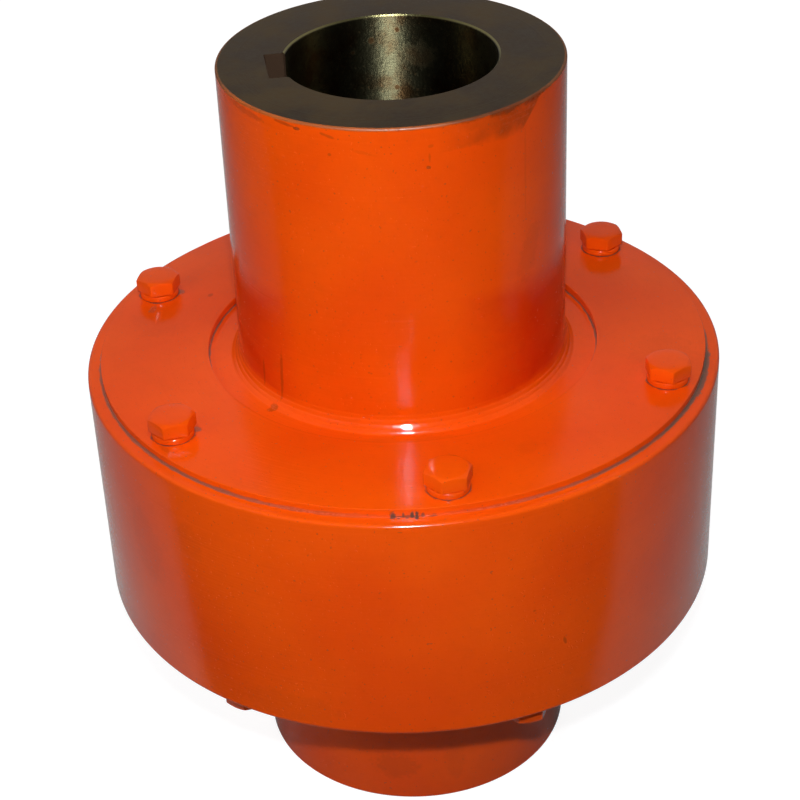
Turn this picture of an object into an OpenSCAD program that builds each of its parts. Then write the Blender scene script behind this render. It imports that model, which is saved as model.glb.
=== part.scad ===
// Elastic pin gear coupling, standing on the end of its lower half coupling.
// Units are millimetres. Z is the common axis of both shafts, and z = 0 is the
// surface that the coupling stands on. The keyways lie on the -X side.

/* [Half couplings] */
// Outside diameter of the hub of each half coupling
hub_d = 81.5; // [70:0.5:90]
// Length of the lower half coupling, flange included
lower_hub_l = 89; // [70:1:110]
// Length of the upper half coupling, flange included
upper_hub_l = 105; // [80:1:130]
// Bore for the shaft
bore_d = 50; // [38:1:56]
// Width of the keyway
key_w = 14; // [10:1:16]
// Depth of the keyway below the wall of the bore
key_depth = 3.8; // [2:0.1:5]
// Chamfer at both mouths of the bore
bore_chamfer = 1; // [0.5:0.1:2]
// Chamfer on the outer edge of the hub's free end
hub_chamfer = 0.6; // [0.3:0.1:2]
// Fillet where the hub meets its flange
flange_fillet = 3; // [1:0.5:5]
// Width of the grooved flange
flange_w = 28; // [20:0.5:36]
// Chamfer on the edges of the flange
flange_chamfer = 1; // [0.5:0.1:2]

/* [Nylon pins] */
// Pins in each of the two rows
pin_count = 12; // [8:1:14]
// Diameter of a pin
pin_d = 14; // [10:0.5:16]
// Chamfer on both ends of a pin
pin_chamfer = 1.2; // [0.5:0.1:2]
// Radial clearance between a pin and its groove
pin_clearance = 0.3; // [0.1:0.05:0.5]
// Room that two pins, end on end, leave between the retaining plates
pin_end_play = 0.5; // [0.2:0.1:1]
// How far a retaining plate covers a pin's inner side
pin_cover = 1.55; // [1:0.05:4]
// Angle of the first pin from the +X axis
pin_phase = 7.5; // [0:0.5:15]

/* [Outer sleeve] */
// Wall behind the grooves
sleeve_wall = 14.45; // [12:0.05:18]
// Rounding on the outer edges
sleeve_edge_r = 0.8; // [0.5:0.1:2]
// Chamfer at both mouths of the grooved bore
sleeve_chamfer = 1; // [0.5:0.1:1.5]
// Radial gap between the sleeve and a flange
flange_gap = 1; // [0.6:0.1:2]
// Room for the flanges to move along the axis between the plates
end_float = 4.5; // [4.2:0.1:7]

/* [Retaining plates] */
// Thickness of a plate
plate_t = 2; // [1.5:0.1:3]
// Step from the sleeve's outside in to the plate's edge
plate_step = 3.5; // [2:0.1:5]
// Gap between the hub and the plate's inner edge
plate_window = 7.95; // [6:0.05:10]
// Broken edges of a plate
plate_chamfer = 0.25; // [0.1:0.05:0.5]

/* [Bolts and spring washers] */
// Bolts that hold each plate
bolt_count = 6; // [4:1:8]
// Thread diameter
bolt_d = 6; // [5:0.5:8]
// Length under the head
bolt_l = 16; // [14:1:20]
// Size across the flats of the head
head_flats = 10; // [9:0.5:13]
// Height of the head
head_h = 4; // [3.5:0.1:5.5]
// Height of the round face under the head
head_face_h = 0.3; // [0.2:0.1:0.5]
// Distance from the sleeve's outside in to the bolt circle
bolt_inset = 10.5; // [9:0.1:12]
// Radial clearance between the thread and the tapped hole
thread_clearance = 0.05; // [0.02:0.01:0.1]
// Radial clearance between the bolt and the hole in the plate
plate_hole_clearance = 0.3; // [0.2:0.05:0.6]
// Tapped depth left below the bolt's tip
tap_spare = 2.6; // [1:0.1:6]
// Chamfer at the mouth of a tapped hole
tap_chamfer = 0.6; // [0.3:0.1:1]
// Thickness of a spring washer
washer_t = 1.6; // [1.2:0.1:2.5]
// Width of a spring washer's section
washer_section = 1.85; // [1.5:0.05:2.5]
// Radial clearance between the bolt and its washer
washer_clearance = 0.2; // [0.1:0.05:0.4]
// Gap where a spring washer is cut
washer_split = 0.9; // [0.5:0.1:1.5]
// Slant of that cut
washer_slant = 25; // [15:1:35]
// Angle of the first bolt on the upper plate
upper_bolt_phase = 30; // [0:1:60]
// Angle of the first bolt on the lower plate
lower_bolt_phase = 45; // [0:1:60]

/* [Hidden] */
$fn = 96;
cut = 0.5;

hub_r = hub_d / 2;
bore_r = bore_d / 2;
plate_hole_r = hub_r + plate_window;
pin_r = pin_d / 2;
pin_circle_r = plate_hole_r + pin_cover + pin_r;
groove_r = pin_r + pin_clearance;
flange_r = pin_circle_r - flange_gap / 2;
sleeve_bore_r = pin_circle_r + flange_gap / 2;
sleeve_r = pin_circle_r + groove_r + sleeve_wall;
plate_r = sleeve_r - plate_step;
bolt_circle_r = sleeve_r - bolt_inset;

// The upper half rests on the lower one, and the sleeve hangs by its upper plate
sleeve_w = 2 * flange_w + end_float;
parting_z = lower_hub_l;
sleeve_top_z = parting_z + flange_w;
sleeve_base_z = sleeve_top_z - sleeve_w;
pin_l = (sleeve_w - pin_end_play) / 2;

bolt_r = bolt_d / 2;
tap_r = bolt_r + thread_clearance;
tap_depth = bolt_l - washer_t - plate_t + tap_spare;
drill_point_angle = 118;
drill_point_h = tap_r / tan(drill_point_angle / 2);
head_circle_d = head_flats / cos(30);
head_crown_r = 0.475 * head_flats;
head_crown_h = (head_circle_d / 2 - head_crown_r) * tan(30);
head_face_r = 0.45 * head_flats;
bolt_tip_chamfer = bolt_d / 8;
washer_bore_r = bolt_r + washer_clearance;
washer_r = washer_bore_r + washer_section;

// Where each head stopped when it was tightened, from its own radius
upper_head_turns = [30, 52, 7, 6, 7, 31];
lower_head_turns = [14, 41, 22, 3, 50, 35];
// Where each spring washer's cut came to lie
washer_turn_step = 73;
washer_first_turn = 200;

function two_digits(n) = n < 10 ? str("0", n) : str(n);
function pin_name(row, n) = str(row, "_pin_", two_digits(n));
function pin_names(row) = [for (n = [1 : pin_count]) pin_name(row, n)];

// Copies children around Z, the first one at phase
module ring_of(count, radius, phase) {
    for (i = [0 : count - 1])
        rotate(phase + i * 360 / count)
            translate([radius, 0, 0])
                children();
}

// What rounds an outer corner of radius r, with the corner's centre at the origin
module round_cut(r) {
    difference() {
        square(r + cut);
        circle(r);
    }
}

// The concave corner of radius r that fills the angle at the origin
module fillet_fill(r) {
    difference() {
        translate([-cut, -cut])
            square(r + cut);
        translate([r, r])
            circle(r);
    }
}

// Half of the turned section, with the flange's inner face at z = 0
module half_coupling_section(length) {
    polygon([
        [bore_r + bore_chamfer, 0],
        [flange_r - flange_chamfer, 0],
        [flange_r, flange_chamfer],
        [flange_r, flange_w - flange_chamfer],
        [flange_r - flange_chamfer, flange_w],
        [hub_r, flange_w],
        [hub_r, length - hub_chamfer],
        [hub_r - hub_chamfer, length],
        [bore_r + bore_chamfer, length],
        [bore_r, length - bore_chamfer],
        [bore_r, bore_chamfer]
    ]);
    translate([hub_r, flange_w])
        fillet_fill(flange_fillet);
}

// The half round grooves that hold the inner halves of one row of pins
module pin_grooves(height) {
    ring_of(pin_count, pin_circle_r, pin_phase)
        translate([0, 0, -cut])
            cylinder(r = groove_r, h = height + 2 * cut);
}

module keyway(length) {
    translate([-bore_r - key_depth, -key_w / 2, -cut])
        cube([bore_r + key_depth, key_w, length + 2 * cut]);
}

// A turned half coupling: hub, grooved flange, bore and keyway
module half_coupling(length) {
    color("orangered")
        difference() {
            rotate_extrude()
                half_coupling_section(length);
            pin_grooves(flange_w);
            keyway(length);
        }
}

module lower_hub() {
    translate([0, 0, parting_z])
        mirror([0, 0, 1])
            half_coupling(lower_hub_l);
}

module upper_hub() {
    translate([0, 0, parting_z])
        half_coupling(upper_hub_l);
}

module sleeve_section() {
    difference() {
        polygon([
            [sleeve_bore_r + sleeve_chamfer, 0],
            [sleeve_r, 0],
            [sleeve_r, sleeve_w],
            [sleeve_bore_r + sleeve_chamfer, sleeve_w],
            [sleeve_bore_r, sleeve_w - sleeve_chamfer],
            [sleeve_bore_r, sleeve_chamfer]
        ]);
        translate([sleeve_r - sleeve_edge_r, sleeve_w - sleeve_edge_r])
            round_cut(sleeve_edge_r);
        translate([sleeve_r - sleeve_edge_r, sleeve_edge_r])
            mirror([0, 1])
                round_cut(sleeve_edge_r);
    }
}

// A blind hole down from z = 0, with a chamfered mouth and the drill's point
module tapped_hole() {
    translate([0, 0, -tap_depth])
        cylinder(r = tap_r, h = tap_depth + cut);
    translate([0, 0, -tap_depth - drill_point_h])
        cylinder(r1 = 0, r2 = tap_r, h = drill_point_h);
    translate([0, 0, -tap_chamfer])
        cylinder(r1 = tap_r, r2 = tap_r + tap_chamfer, h = tap_chamfer);
}

// The ring around both flanges, with the outer halves of the grooves
module outer_sleeve() {
    color("orangered")
        translate([0, 0, sleeve_base_z])
            difference() {
                rotate_extrude()
                    sleeve_section();
                pin_grooves(sleeve_w);
                translate([0, 0, sleeve_w])
                    ring_of(bolt_count, bolt_circle_r, upper_bolt_phase)
                        tapped_hole();
                ring_of(bolt_count, bolt_circle_r, lower_bolt_phase)
                    mirror([0, 0, 1])
                        tapped_hole();
            }
}

// A flat ring with its seat at z = 0 and its outer face above
module retaining_plate(phase) {
    color("orangered")
        difference() {
            rotate_extrude()
                polygon([
                    [plate_hole_r, 0],
                    [plate_r, 0],
                    [plate_r, plate_t - plate_chamfer],
                    [plate_r - plate_chamfer, plate_t],
                    [plate_hole_r + plate_chamfer, plate_t],
                    [plate_hole_r, plate_t - plate_chamfer]
                ]);
            ring_of(bolt_count, bolt_circle_r, phase)
                translate([0, 0, -cut])
                    cylinder(r = bolt_r + plate_hole_clearance, h = plate_t + 2 * cut);
        }
}

// Places what is drawn on a seat at z = 0 on the upper or the lower end face
module on_upper_face(lift) {
    translate([0, 0, sleeve_top_z + lift])
        children();
}

module on_lower_face(lift) {
    translate([0, 0, sleeve_base_z - lift])
        mirror([0, 0, 1])
            children();
}

module upper_plate() {
    on_upper_face(0)
        retaining_plate(upper_bolt_phase);
}

module lower_plate() {
    on_lower_face(0)
        retaining_plate(lower_bolt_phase);
}

// A hexagon head bolt with the underside of its head at z = 0
module hex_bolt() {
    color("orangered") {
        cylinder(r = head_face_r, h = head_face_h);
        intersection() {
            translate([0, 0, head_face_h])
                cylinder(d = head_circle_d, h = head_h - head_face_h, $fn = 6);
            union() {
                cylinder(d = head_circle_d, h = head_h - head_crown_h);
                translate([0, 0, head_h - head_crown_h])
                    cylinder(d1 = head_circle_d, r2 = head_crown_r, h = head_crown_h);
            }
        }
        translate([0, 0, bolt_tip_chamfer - bolt_l])
            cylinder(r = bolt_r, h = bolt_l - bolt_tip_chamfer);
        translate([0, 0, -bolt_l])
            cylinder(r1 = bolt_r - bolt_tip_chamfer, r2 = bolt_r, h = bolt_tip_chamfer);
    }
}

// Bolts around the axis, each turned to where it stopped
module bolt_ring(phase, turns) {
    for (i = [0 : bolt_count - 1])
        rotate(phase + i * 360 / bolt_count)
            translate([bolt_circle_r, 0, 0])
                rotate(turns[i % len(turns)])
                    hex_bolt();
}

module upper_bolts() {
    on_upper_face(plate_t + washer_t)
        bolt_ring(upper_bolt_phase, upper_head_turns);
}

module lower_bolts() {
    on_lower_face(plate_t + washer_t)
        bolt_ring(lower_bolt_phase, lower_head_turns);
}

// A split ring, pressed flat, with its seat at z = 0
module spring_washer() {
    color("orangered")
        difference() {
            cylinder(r = washer_r, h = washer_t);
            translate([0, 0, -cut])
                cylinder(r = washer_bore_r, h = washer_t + 2 * cut);
            translate([0, 0, washer_t / 2])
                rotate([washer_slant, 0, 0])
                    translate([0, -washer_split / 2, -washer_t - cut])
                        cube([washer_r + cut, washer_split, 2 * (washer_t + cut)]);
        }
}

module washer_ring(phase) {
    for (i = [0 : bolt_count - 1])
        rotate(phase + i * 360 / bolt_count)
            translate([bolt_circle_r, 0, 0])
                rotate(washer_first_turn + i * washer_turn_step)
                    spring_washer();
}

module upper_spring_washers() {
    on_upper_face(plate_t)
        washer_ring(upper_bolt_phase);
}

module lower_spring_washers() {
    on_lower_face(plate_t)
        washer_ring(lower_bolt_phase);
}

// Pin n of a row, standing on the given level
module nylon_pin(n, base_z) {
    color("ivory")
        rotate(pin_phase + (n - 1) * 360 / pin_count)
            translate([pin_circle_r, 0, base_z])
                rotate_extrude()
                    polygon([
                        [0, 0],
                        [pin_r - pin_chamfer, 0],
                        [pin_r, pin_chamfer],
                        [pin_r, pin_l - pin_chamfer],
                        [pin_r - pin_chamfer, pin_l],
                        [0, pin_l]
                    ]);
}

// The lower row stands on the lower plate, and the upper row on the lower one
module lower_pin(n) {
    nylon_pin(n, sleeve_base_z);
}

module upper_pin(n) {
    nylon_pin(n, sleeve_base_z + pin_l);
}

lower_hub();
upper_hub();
outer_sleeve();
lower_plate();
upper_plate();
lower_bolts();
upper_bolts();
lower_spring_washers();
upper_spring_washers();
for (n = [1 : pin_count]) lower_pin(n);
for (n = [1 : pin_count]) upper_pin(n);
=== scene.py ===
import bisect
import math
from functools import partial
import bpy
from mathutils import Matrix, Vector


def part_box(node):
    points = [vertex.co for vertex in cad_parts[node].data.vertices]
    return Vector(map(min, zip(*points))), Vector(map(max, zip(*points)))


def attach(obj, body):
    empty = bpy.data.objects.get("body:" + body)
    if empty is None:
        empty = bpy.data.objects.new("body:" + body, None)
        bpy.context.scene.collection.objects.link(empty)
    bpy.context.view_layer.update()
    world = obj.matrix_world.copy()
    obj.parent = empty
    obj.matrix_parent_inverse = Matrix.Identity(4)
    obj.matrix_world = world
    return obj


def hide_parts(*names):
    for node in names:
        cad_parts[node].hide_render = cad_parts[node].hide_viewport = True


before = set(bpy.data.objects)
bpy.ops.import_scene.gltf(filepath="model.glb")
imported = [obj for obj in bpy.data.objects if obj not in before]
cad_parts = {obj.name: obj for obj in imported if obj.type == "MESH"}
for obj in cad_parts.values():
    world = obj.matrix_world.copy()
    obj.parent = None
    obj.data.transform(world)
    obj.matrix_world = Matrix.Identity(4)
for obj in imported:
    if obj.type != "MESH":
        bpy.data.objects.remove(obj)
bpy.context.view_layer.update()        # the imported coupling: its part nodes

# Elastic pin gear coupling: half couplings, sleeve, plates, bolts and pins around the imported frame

from types import SimpleNamespace

import bmesh
import bpy
from bpy.props import FloatProperty, FloatVectorProperty, IntProperty, PointerProperty
from mathutils import Matrix, Vector

bl_info = {
    "name": "Elastic Pin Gear Coupling",
    "version": (1, 0, 0),
    "blender": (4, 5, 0),
    "location": "3D View > Sidebar > Coupling",
    "description": "Builds a painted elastic pin gear coupling and the studio it stands in",
    "category": "Object",
}

MM = 0.001
# An edge of a mesh that turns by more degrees than this stays sharp
SHARP_EDGE = 28
LOWER_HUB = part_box("lower_hub")
UPPER_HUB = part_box("upper_hub")
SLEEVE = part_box("outer_sleeve")
UPPER_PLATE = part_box("upper_plate")
LOWER_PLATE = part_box("lower_plate")
UPPER_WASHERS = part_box("upper_spring_washers")
LOWER_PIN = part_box("lower_pin_01")

# Where each bolt head stopped when it was tightened, in degrees from its own radius
UPPER_HEAD_TURNS = (34, 52, 8, 6, 7, 27)
LOWER_HEAD_TURNS = (14, 41, 22, 3, 50, 35)
# Where the cut in each spring washer came to lie
UPPER_CUT_TURNS = (72, -22, -48, -140, 195, 96)
LOWER_CUT_TURNS = (200, 273, 346, 59, 132, 205)

# Material slots of a half coupling, and the rounding in the corners of its keyway
PAINT, FACE, BORE, SLOT = range(4)
KEY_CORNER = 0.4 * MM
# Radii of the plates' rims, of the holes in them and of the circle that the bolts stand on
PLATE_RIM = UPPER_PLATE[1].x
PLATE_HOLE = 48.7 * MM
BOLT_CIRCLE = 68.5 * MM
# Bolts on each plate
BOLTS = 6
# How dull a layer of dirt is
GLOSSY, SATIN, MATT = 0.0, 0.6, 1.0
# Steps all the way round a turned ring, a cutter, a bolt, a washer and a pin
RING_STEPS, CUTTER_STEPS, BOLT_STEPS, WASHER_STEPS, PIN_STEPS = 288, 48, 72, 60, 64

# Marks on the paint and in the bore, each with its angle, radius, level, depth, width, height,
# lean and strength; angles in degrees, sizes in millimetres
RUBBED_OIL = (
    (-60, 40.75, 193.9, 3, 5.5, 1.5, 0, 0.75),
    (-44, 40.75, 194.0, 3, 8, 1.1, 8, 0.6),
    (-74, 40.75, 194.0, 3, 6, 1.0, 0, 0.4),
    (-151, 40.75, 192.3, 3, 8, 0.9, -5, 0.3),
    (-133, 40.75, 192.8, 2, 3.2, 0.4, -6, 0.4),
    (-128.6, 40.75, 192.3, 2, 1.1, 0.45, 0, 0.7),
    (-118.3, 40.75, 191.8, 2, 1.9, 0.4, -14, 0.35),
    (-107, 40.75, 188.3, 2, 3.2, 0.5, -14, 0.1),
    (-117.7, 40.75, 187.4, 1, 0.5, 0.4, 0, 0.35),
    (-87.2, 40.75, 184.2, 1, 0.6, 0.5, 0, 0.6),
    (-86.8, 40.75, 186.4, 1, 0.35, 1.4, 0, 0.25),
    (-86.3, 40.75, 189.2, 1, 0.7, 0.5, 0, 0.2),
    (-50, 40.75, 156, 3, 3.5, 9, -20, 0.10),
    (-97, 45.6, 117, 2.4, 38, 1.5, 0, 0.1),
)
PAINT_RUNS = (
    (-142.7, 40.8, 126, 2, 0.6, 8.5, -4, 0.35),
    (-144.7, 43.2, 117.5, 2, 1.4, 1.4, 20, 0.45),
    (-152.7, 40.8, 124, 2, 0.5, 4.5, -2, 0.3),
    (-52, 40.75, 178, 2, 0.4, 14, 0, 0.1),
)
LOWER_HUB_OIL = (
    (-106, 40.75, 11, 3, 7, 5, 0, 0.16),
    (-84, 40.75, 12, 3, 3, 8, 0, 0.08),
)
SLEEVE_OIL = (
    (-71.2, 79, 76.5, 2, 0.5, 1.4, 15, 0.4),
    (-77, 79, 88, 2, 0.5, 0.4, 0, 0.3),
    (-138, 79, 101, 3, 5, 6, 0, 0.07),
    (-150, 79, 92, 3, 7, 12, 15, 0.08),
    (-120, 79, 62, 3, 16, 5, 0, 0.07),
)
RIM_DUST = (
    (-13, 75.8, 117, 0.5, 7, 2, 0, 0.6),
    (-20, 75.9, 117, 0.9, 8, 2, 0, 0.85),
    (-27, 76.0, 117, 1.0, 8, 2, 0, 0.85),
    (-34, 75.8, 117, 0.7, 8, 2, 0, 0.8),
    (-42, 75.7, 117, 0.5, 8, 2, 0, 0.7),
)
RIM_CHIPS = (
    (-100.2, 75.7, 117, 0.9, 0.9, 1.6, 0, 0.85),
    (-99.3, 76.2, 117, 0.4, 0.5, 1.2, 0, 0.7),
    (-98.5, 75.5, 117, 0.5, 0.35, 1.2, 0, 0.8),
    (-97.9, 76.1, 117, 0.3, 0.5, 1.0, 0, 0.8),
    (-97.0, 75.6, 117, 0.6, 0.5, 1.4, 0, 0.9),
    (-96.2, 76.0, 117, 0.9, 0.6, 1.6, 0, 0.9),
    (-95.2, 75.5, 117, 0.5, 0.5, 0.8, 0, 0.7),
    (-93.6, 75.8, 117, 0.4, 1.1, 0.8, 0, 0.5),
    (-97.6, 75.6, 117, 0.35, 4, 0.4, 0, 0.55),
)
PLATE_OIL = (
    (-213.6, 55.5, 119, 0.7, 0.9, 2, 0, 0.35),
    (-147, 73.6, 119, 0.8, 3, 2, 0, 0.2),
    (-70, 60, 119, 3, 4, 2, 20, 0.06),
    (-20, 65, 119, 9, 12, 2, 0, 0.07),
    (-200, 62, 119, 9, 12, 2, 0, 0.05),
)
PLATE_SMUDGES = (
    (-212.2, 63.9, 119, 1.8, 1.5, 2, 0, 0.55),
    (-148.3, 63.3, 119, 1.6, 1.3, 2, 0, 0.6),
    (-203.3, 66.8, 119, 1.0, 2.4, 2, 0, 0.3),
)
BORE_RUST = (
    (78.5, 25, 190.1, 1, 0.9, 0.9, 0, 0.95),
    (93.3, 25, 187.7, 1, 1.0, 1.1, 0, 0.9),
    (104, 25, 185.3, 1, 0.7, 0.7, 0, 0.9),
    (79.8, 25, 175.2, 1, 0.8, 0.8, 0, 0.9),
    (66, 25, 184, 2, 5, 4, 0, 0.6),
)
# Painted shade: these marks darken the whole keyway, a recess, and make it duller
KEYWAY_OIL = (
    (180, 28, 186, 14, 26, 60, 0, 1.0),
    (180, 28, 130, 9, 12, 80, 0, 0.8),
    (180, 28, 50, 9, 12, 80, 0, 0.8),
)
# Where oil was wiped on, where the rim still has its enamel, and where painted shade makes the lower sides
# of the hub a deeper red, bounded by edges that each have an angle, radius, level, lean and softness
OILY_SMEAR = (
    (-66, 40.75, 186.9, -2, 2.4),
    (-51.2, 40.75, 188.5, 42, 0.5),
    (-84, 40.75, 190, -90, 16),
)
PAINTED_RIM = (
    (-110, 40.75, 193.2, 0, 0.3),
    (-170, 40.75, 194, -90, 9),
    (-74, 40.75, 194, 90, 9),
)
# Painted shade: the lower left and right sides of the hub, above the plate, are painted a deeper red for the
# orange light the plate bounces onto them
POOLED_LEFT = (
    (-133, 40.75, 130, 90, 16),
    (-165, 40.75, 150, 180, 8),
    (-165, 40.75, 119.5, 0, 3),
    (-205, 40.75, 130, -90, 16),
)
POOLED_RIGHT = (
    (-80, 40.75, 130, -90, 22),
    (-30, 40.75, 151, 180, 8),
    (-30, 40.75, 119.5, 0, 3),
    (10, 40.75, 130, 90, 16),
)


# Sizes and colours

def a_length(name, description, size, **limits):
    """A length in the sidebar, in metres."""
    return FloatProperty(name=name, description=description, default=size, unit="LENGTH", **limits)


def an_angle(name, description, degrees):
    """An angle in the sidebar, given in degrees."""
    return FloatProperty(
        name=name, description=description, default=math.radians(degrees), subtype="ANGLE")


def a_strength(name, description, strength, **limits):
    """The strength of a light in the sidebar."""
    return FloatProperty(name=name, description=description, default=strength, min=0, **limits)


def linear(hex_colour):
    """The linear value of an sRGB hex colour, with full alpha."""
    channels = [int(hex_colour[i:i + 2], 16) / 255 for i in (1, 3, 5)]
    return [c / 12.92 if c <= 0.04045 else ((c + 0.055) / 1.055) ** 2.4 for c in channels] + [1.0]


def a_colour(name, description, hex_colour):
    """A colour in the sidebar, shown as a swatch."""
    return FloatVectorProperty(
        name=name, description=description, subtype="COLOR", size=4, min=0, max=1,
        default=linear(hex_colour))


class HubSizes(bpy.types.PropertyGroup):
    """Sizes of both half couplings."""

    diameter: a_length("Hub Diameter", "Outside diameter of the plain hub", 81.5 * MM, min=0.07, max=0.09)
    bore: a_length("Bore", "Diameter of the shaft bore", 50 * MM, min=0.038, max=0.056)
    key_width: a_length("Keyway Width", "Width of the keyway", 14 * MM)
    key_depth: a_length("Keyway Depth", "Depth of the keyway below the wall of the bore", 3.8 * MM)
    bore_chamfer: a_length("Bore Chamfer", "Chamfer at both mouths of the bore", 0.5 * MM)
    edge_round: a_length("End Rounding", "Rounding that the paint gives the hub's outer edge", 0.6 * MM)
    fillet: a_length("Fillet", "Radius of the turned fillet where the hub meets its flange", 5.5 * MM)
    fillet_foot: a_length(
        "Fillet Foot", "How far from the hub the fillet runs out into the flange", 2.35 * MM)
    flange_radius: a_length("Flange Radius", "Radius of the grooved flange", UPPER_HUB[1].x)
    flange_width: a_length("Flange Width", "Width of the grooved flange", 28 * MM)
    flange_chamfer: a_length("Flange Chamfer", "Chamfer on the edges of the flange", 1 * MM)


class PinSizes(bpy.types.PropertyGroup):
    """Sizes of the nylon pins and of the grooves that hold them."""

    count: IntProperty(
        name="Pins per Row", description="Number of pins in each of the two rows",
        default=12, min=8, max=14)
    diameter: a_length("Pin Diameter", "Diameter of a pin", 14 * MM)
    length: a_length("Pin Length", "Length of a pin", LOWER_PIN[1].z - LOWER_PIN[0].z)
    chamfer: a_length("Pin Chamfer", "Chamfer on both ends of a pin", 1.2 * MM)
    circle: a_length("Pin Circle Radius", "Radius of the circle that the pins stand on", 57.25 * MM)
    clearance: a_length("Groove Clearance", "Radial clearance between a pin and its groove", 0.3 * MM)
    first_angle: an_angle("First Pin Angle", "Angle of the first pin from the X axis", 7.5)


class SleeveSizes(bpy.types.PropertyGroup):
    """Sizes of the outer sleeve and its two retaining plates."""

    radius: a_length("Sleeve Radius", "Outside radius of the sleeve", min(SLEEVE[1].x, SLEEVE[1].y))
    bore_radius: a_length("Sleeve Bore Radius", "Radius of the bore between the grooves", 57.75 * MM)
    edge_round: a_length("Edge Rounding", "Rounding on the outer edges of the sleeve", 1.1 * MM)
    chamfer: a_length("Bore Chamfer", "Chamfer at both mouths of the grooved bore", 1 * MM)
    plate_radius: a_length("Plate Radius", "Outside radius of a retaining plate", PLATE_RIM)
    plate_hole: a_length("Plate Hole Radius", "Radius of the hole in a retaining plate", PLATE_HOLE)
    plate_edge: a_length("Plate Edge", "Broken edge of a retaining plate, rounded by paint", 0.3 * MM)


class FastenerSizes(bpy.types.PropertyGroup):
    """Sizes of the bolts and their spring washers."""

    diameter: a_length("Thread Diameter", "Outside diameter of the thread", 6 * MM)
    pitch: a_length("Thread Pitch", "Distance between two turns of the thread", 1 * MM)
    length: a_length("Bolt Length", "Length under the head", 16 * MM)
    flats: a_length("Across Flats", "Size of the head across its flats", 10 * MM)
    head_height: a_length("Head Height", "Height of the head", 4 * MM)
    circle: a_length("Bolt Circle Radius", "Radius of the circle that the bolts stand on", BOLT_CIRCLE)
    washer_section: a_length("Washer Section", "Width of a spring washer's section", 1.85 * MM)
    crown: a_length("Head Crown", "Diameter of the flat on top of the head, inside its chamfer", 9.3 * MM)
    upper_angle: an_angle("First Upper Bolt", "Angle of the first bolt on the upper plate", 30)
    lower_angle: an_angle("First Lower Bolt", "Angle of the first bolt on the lower plate", 45)


class FinishColours(bpy.types.PropertyGroup):
    """Colours of the paint, the bare steel, the nylon, the grime and dust, painted shade and a painted
    highlight.
    """

    enamel: a_colour("Enamel", "Sprayed enamel, where it is thick", "#EC5205")
    enamel_thin: a_colour("Thin Enamel", "Sprayed enamel, where it is thin", "#E54A04")
    edge: a_colour("Worn Edge", "Enamel rubbed thin on the hub's edge", "#B0561C")
    # Painted shade: a deeper red for the lower sides of the hub, where the plate bounces orange light onto
    # them
    pooled: a_colour("Pooled Enamel", "Deeper enamel that ran or gathered in a corner", "#CE2803")
    grime: a_colour("Grime", "Brown oil rubbed into the paint", "#6A2E0C")
    dust: a_colour("Dust", "Grey dust and filler caught beside an edge", "#5F5348")
    # Also the dark of the painted contact shade round the washers
    chip: a_colour("Chips", "Dark steel where the paint has chipped", "#3A382F")
    steel: a_colour("Turned Steel", "Bare steel of an end face, darkened by oil", "#5B4527")
    steel_stain: a_colour("Steel Stain", "Stains on the bare end face", "#48341F")
    bore_steel: a_colour("Bored Steel", "Bare steel of the bores", "#5A553E")
    # A painted highlight, for the top edge of the bore where it catches the light
    bright_steel: a_colour("Bright Edge", "Bare steel rubbed bright on an edge", "#A89E6C")
    rust: a_colour("Rust", "Rust spots in the bores", "#2C1B0C")
    zinc: a_colour("Zinc", "Zinc plating under the bolt heads", "#A8A9A6")
    nylon: a_colour("Nylon", "Cast nylon", "#E2DAC6")
    nylon_dark: a_colour("Greased Nylon", "Cast nylon, stained by grease", "#B9AC8C")


class StudioSettings(bpy.types.PropertyGroup):
    """The camera and the lights."""

    camera_place: FloatVectorProperty(
        name="Camera", description="Place of the camera", size=3, subtype="TRANSLATION",
        default=(-0.0552, -0.4250, 0.3709))
    heading: an_angle("Heading", "Turn of the camera about the vertical from +Y", -7.23)
    tilt: an_angle("Tilt", "How far the camera looks down", 32.34)
    roll: an_angle("Roll", "Turn of the camera about its own line of sight", -2.47)
    lens: FloatProperty(
        name="Lens", description="Focal length in millimetres on a 36 mm sensor",
        default=88.9, min=20, max=300)
    key_power: a_strength("Key Power", "Power of the small light above the lens, in watts", 1.47)
    spark_power: a_strength("Spark Power", "Power of the same light as glossy surfaces mirror it", 8.0)
    top_power: a_strength("Top Power", "Power of the softbox overhead, in watts", 3.3)
    side_power: a_strength("Side Power", "Power of the softbox on the left, in watts", 2.5)
    back_power: a_strength("Back Power", "Power of the softbox behind the coupling, in watts", 4.0)
    ambient: a_strength("Ambient", "Light that the room gives all round", 0.05, max=1)


# Mesh helpers

def around(radius, angle, height):
    """A point on a circle about the shaft's axis."""
    return (radius * math.cos(angle), radius * math.sin(angle), height)


def evenly(count):
    """Angles all the way round, in equal steps."""
    return [2 * math.pi * n / count for n in range(count)]


def merged(*angle_lists, gap=0.0008):
    """All the angles of several lists in order, without those closer than the gap."""
    wanted = sorted(a % (2 * math.pi) for angles in angle_lists for a in angles)
    kept = wanted[:1]
    for angle in wanted[1:]:
        if angle - kept[-1] > gap:
            kept.append(angle)
    return kept


class Outline:
    """A closed outline around the axis that every radius crosses once."""

    def __init__(self, points):
        self.points = sorted((math.atan2(y, x) % (2 * math.pi), x, y) for x, y in points)
        self.angles = [p[0] for p in self.points]

    def reach(self, angle):
        """Distance from the axis to the outline at an angle."""
        after = bisect.bisect_left(self.angles, angle % (2 * math.pi)) % len(self.points)
        _, x1, y1 = self.points[after - 1]
        _, x2, y2 = self.points[after]
        dx, dy = x2 - x1, y2 - y1
        return (x1 * dy - y1 * dx) / (math.cos(angle) * dy - math.sin(angle) * dx)


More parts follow.
